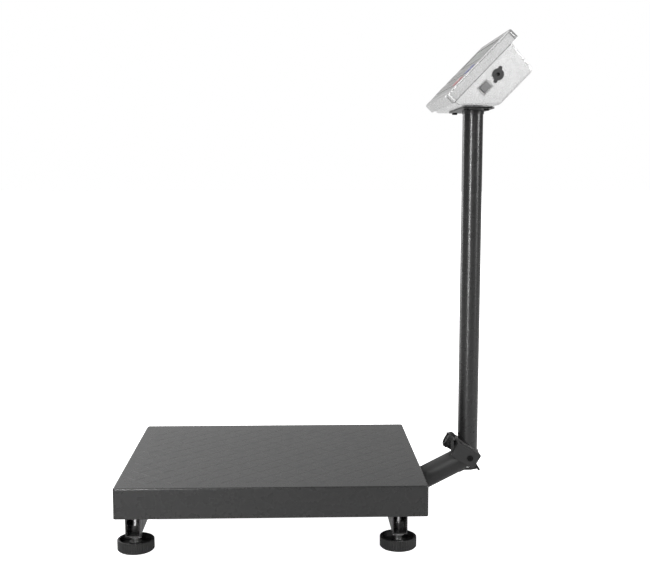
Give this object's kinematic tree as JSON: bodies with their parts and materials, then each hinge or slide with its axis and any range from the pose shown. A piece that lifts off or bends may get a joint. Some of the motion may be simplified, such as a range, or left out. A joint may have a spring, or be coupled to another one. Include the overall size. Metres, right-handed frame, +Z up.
{
  "type": "platform shipping scale",
  "caption": "Bench platform scale with a steel tray on levelling feet and a tilted indicator head on a folding column",
  "frame": {"origin": "on the floor under the middle of the bounding box", "axes": "+Z up, +Y from the operator towards the column, +X to the operator's right when facing the display"},
  "size_m": [0.4, 0.6679, 0.8328],
  "materials": {
    "charcoal_paint": "powder coat, semi-gloss",
    "black_steel": "black paint, satin",
    "zinc": "bright zinc plate",
    "foot_rubber": "moulded, satin",
    "pad_rubber": "moulded, matt",
    "cell_alloy": "machined",
    "black_plastic": "moulded, fine grain",
    "switch_frame": "moulded",
    "shell_plastic": "moulded, light texture",
    "panel_film": "printed polyester film",
    "key_plastic": "soft-touch keys",
    "window_clear": "clear, slightly tinted",
    "display_dark": "display glass and frame",
    "board_green": "circuit board",
    "cable_jacket": "smooth jacket"
  },
  "bodies": {
    "base": {"cross_tube_front": "charcoal_paint", "cross_tube_rear": "charcoal_paint", "base_beam": "charcoal_paint", "foot_nuts": "zinc", "load_cell": "cell_alloy", "cell_spacer_lower": "zinc", "cell_spacer_upper": "zinc", "cell_bolts": "zinc", "upper_frame": "charcoal_paint", "tray_rests": "pad_rubber", "stub_tube": "charcoal_paint", "fold_stop_rod": "zinc", "lower_hinge_bracket": "charcoal_paint", "hinge_pin": "zinc", "hinge_pin_ring": "zinc", "signal_cable_lower": "cable_jacket"},
    "tray": {"platform_tray": "charcoal_paint"},
    "column": {"upper_hinge_bracket": "charcoal_paint", "pole_tube": "charcoal_paint", "pole_top_plate": "black_steel", "top_plate_screws": "zinc", "rear_shell": "shell_plastic", "front_bezel": "shell_plastic", "keypad_panel": "panel_film", "display_window": "window_clear", "display_module": "display_dark", "main_board": "board_green", "battery": "black_plastic", "shell_screws": "zinc", "switch_body": "switch_frame", "charge_socket": "black_plastic", "signal_cable_upper": "cable_jacket", "signal_cable_hinge": "cable_jacket"},
    "lock_travel": {"lock_washer": "zinc"},
    "lock_spin": {"lock_knob": "black_plastic", "lock_screw": "zinc"},
    "foot_front_left": {"foot_pad_front_left": "foot_rubber"},
    "stud_front_left": {"foot_stud_front_left": "zinc"},
    "foot_front_right": {"foot_pad_front_right": "foot_rubber"},
    "stud_front_right": {"foot_stud_front_right": "zinc"},
    "foot_rear_left": {"foot_pad_rear_left": "foot_rubber"},
    "stud_rear_left": {"foot_stud_rear_left": "zinc"},
    "foot_rear_right": {"foot_pad_rear_right": "foot_rubber"},
    "stud_rear_right": {"foot_stud_rear_right": "zinc"},
    "rocker": {"switch_rocker": "black_plastic"},
    "key_1_cap": {"key_1": "key_plastic"},
    "key_2_cap": {"key_2": "key_plastic"},
    "key_3_cap": {"key_3": "key_plastic"},
    "key_4_cap": {"key_4": "key_plastic"},
    "key_5_cap": {"key_5": "key_plastic"},
    "key_point_cap": {"key_point": "key_plastic"},
    "key_zero_set_cap": {"key_zero_set": "key_plastic"},
    "key_6_cap": {"key_6": "key_plastic"},
    "key_7_cap": {"key_7": "key_plastic"},
    "key_8_cap": {"key_8": "key_plastic"},
    "key_9_cap": {"key_9": "key_plastic"},
    "key_0_cap": {"key_0": "key_plastic"},
    "key_clear_cap": {"key_clear": "key_plastic"},
    "key_tare_cap": {"key_tare": "key_plastic"}
  },
  "joints": [
    {"name": "tray_lift", "type": "slide", "parent": "base", "child": "tray", "axis": [0, 0, 1], "range_m": [0, 0.06]},
    {"name": "pole_fold", "type": "hinge", "parent": "base", "child": "column", "pos_m": [0, 0.2617, 0.1084], "axis": [-1, 0, 0], "range_deg": [0, 90], "deforming": ["signal_cable_hinge"]},
    {"name": "lock_travel", "type": "slide", "parent": "column", "child": "lock_travel", "axis": [0, 0.8572, -0.515], "range_m": [0, 0.0042]},
    {"name": "lock_spin", "type": "hinge", "parent": "lock_travel", "child": "lock_spin", "pos_m": [0, 0.22999, 0.13329], "axis": [0, 0.8572, -0.515], "range_deg": [0, 1210.6]},
    {"name": "foot_travel_front_left", "type": "slide", "parent": "base", "child": "foot_front_left", "axis": [0, 0, -1], "range_m": [0, 0.012]},
    {"name": "foot_turn_front_left", "type": "hinge", "parent": "foot_front_left", "child": "stud_front_left", "pos_m": [-0.16, -0.3039, 0.03], "axis": [0, 0, -1], "range_deg": [0, 2469.6]},
    {"name": "foot_travel_front_right", "type": "slide", "parent": "base", "child": "foot_front_right", "axis": [0, 0, -1], "range_m": [0, 0.012]},
    {"name": "foot_turn_front_right", "type": "hinge", "parent": "foot_front_right", "child": "stud_front_right", "pos_m": [0.16, -0.3039, 0.03], "axis": [0, 0, -1], "range_deg": [0, 2469.6]},
    {"name": "foot_travel_rear_left", "type": "slide", "parent": "base", "child": "foot_rear_left", "axis": [0, 0, -1], "range_m": [0, 0.012]},
    {"name": "foot_turn_rear_left", "type": "hinge", "parent": "foot_rear_left", "child": "stud_rear_left", "pos_m": [-0.16, 0.1221, 0.03], "axis": [0, 0, -1], "range_deg": [0, 2469.6]},
    {"name": "foot_travel_rear_right", "type": "slide", "parent": "base", "child": "foot_rear_right", "axis": [0, 0, -1], "range_m": [0, 0.012]},
    {"name": "foot_turn_rear_right", "type": "hinge", "parent": "foot_rear_right", "child": "stud_rear_right", "pos_m": [0.16, 0.1221, 0.03], "axis": [0, 0, -1], "range_deg": [0, 2469.6]},
    {"name": "switch_rock", "type": "hinge", "parent": "column", "child": "rocker", "pos_m": [0.1175, 0.25955, 0.74176], "axis": [0, -0.7193, 0.6947], "range_deg": [-16, 0]},
    {"name": "press_key_1", "type": "slide", "parent": "column", "child": "key_1_cap", "axis": [0, 0.7193, -0.6947], "range_m": [0, 0.001], "stiffness_N_per_m": 400},
    {"name": "press_key_2", "type": "slide", "parent": "column", "child": "key_2_cap", "axis": [0, 0.7193, -0.6947], "range_m": [0, 0.001], "stiffness_N_per_m": 400},
    {"name": "press_key_3", "type": "slide", "parent": "column", "child": "key_3_cap", "axis": [0, 0.7193, -0.6947], "range_m": [0, 0.001], "stiffness_N_per_m": 400},
    {"name": "press_key_4", "type": "slide", "parent": "column", "child": "key_4_cap", "axis": [0, 0.7193, -0.6947], "range_m": [0, 0.001], "stiffness_N_per_m": 400},
    {"name": "press_key_5", "type": "slide", "parent": "column", "child": "key_5_cap", "axis": [0, 0.7193, -0.6947], "range_m": [0, 0.001], "stiffness_N_per_m": 400},
    {"name": "press_key_point", "type": "slide", "parent": "column", "child": "key_point_cap", "axis": [0, 0.7193, -0.6947], "range_m": [0, 0.001], "stiffness_N_per_m": 400},
    {"name": "press_key_zero_set", "type": "slide", "parent": "column", "child": "key_zero_set_cap", "axis": [0, 0.7193, -0.6947], "range_m": [0, 0.001], "stiffness_N_per_m": 400},
    {"name": "press_key_6", "type": "slide", "parent": "column", "child": "key_6_cap", "axis": [0, 0.7193, -0.6947], "range_m": [0, 0.001], "stiffness_N_per_m": 400},
    {"name": "press_key_7", "type": "slide", "parent": "column", "child": "key_7_cap", "axis": [0, 0.7193, -0.6947], "range_m": [0, 0.001], "stiffness_N_per_m": 400},
    {"name": "press_key_8", "type": "slide", "parent": "column", "child": "key_8_cap", "axis": [0, 0.7193, -0.6947], "range_m": [0, 0.001], "stiffness_N_per_m": 400},
    {"name": "press_key_9", "type": "slide", "parent": "column", "child": "key_9_cap", "axis": [0, 0.7193, -0.6947], "range_m": [0, 0.001], "stiffness_N_per_m": 400},
    {"name": "press_key_0", "type": "slide", "parent": "column", "child": "key_0_cap", "axis": [0, 0.7193, -0.6947], "range_m": [0, 0.001], "stiffness_N_per_m": 400},
    {"name": "press_key_clear", "type": "slide", "parent": "column", "child": "key_clear_cap", "axis": [0, 0.7193, -0.6947], "range_m": [0, 0.001], "stiffness_N_per_m": 400},
    {"name": "press_key_tare", "type": "slide", "parent": "column", "child": "key_tare_cap", "axis": [0, 0.7193, -0.6947], "range_m": [0, 0.001], "stiffness_N_per_m": 400}
  ],
  "couplings": [
    {"joint": "lock_spin", "follows": "lock_travel", "rad_per_m": 5026.5},
    {"joint": "foot_turn_front_left", "follows": "foot_travel_front_left", "rad_per_m": 3590.4},
    {"joint": "foot_turn_front_right", "follows": "foot_travel_front_right", "rad_per_m": 3590.4},
    {"joint": "foot_turn_rear_left", "follows": "foot_travel_rear_left", "rad_per_m": 3590.4},
    {"joint": "foot_turn_rear_right", "follows": "foot_travel_rear_right", "rad_per_m": 3590.4}
  ]
}
